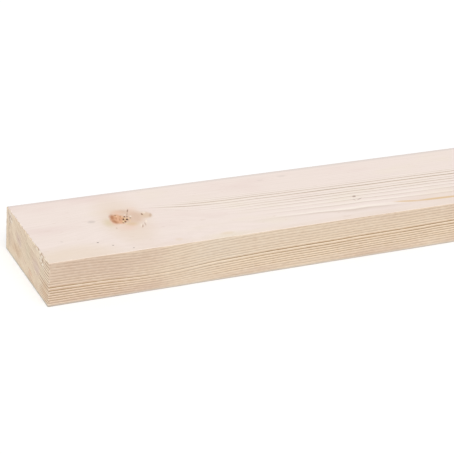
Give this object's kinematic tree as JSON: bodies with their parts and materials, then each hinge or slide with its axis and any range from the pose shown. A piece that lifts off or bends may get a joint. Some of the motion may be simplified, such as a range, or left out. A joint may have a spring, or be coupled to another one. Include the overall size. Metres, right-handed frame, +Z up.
{
  "type": "timber plank",
  "caption": "Straight planed softwood plank of rectangular section with eased long edges and square-sawn ends, lying on its wide face.",
  "frame": {"origin": "centre of the wide face that the plank lies on", "axes": "+X along the plank's length, +Y across its width, +Z up through its thickness"},
  "size_m": [1.8, 0.12, 0.045],
  "materials": {
    "planed_spruce": "bare planed spruce, pale cream with darker growth rings and knots"
  },
  "bodies": {
    "root": {"plank": "planed_spruce"}
  },
  "joints": []
}
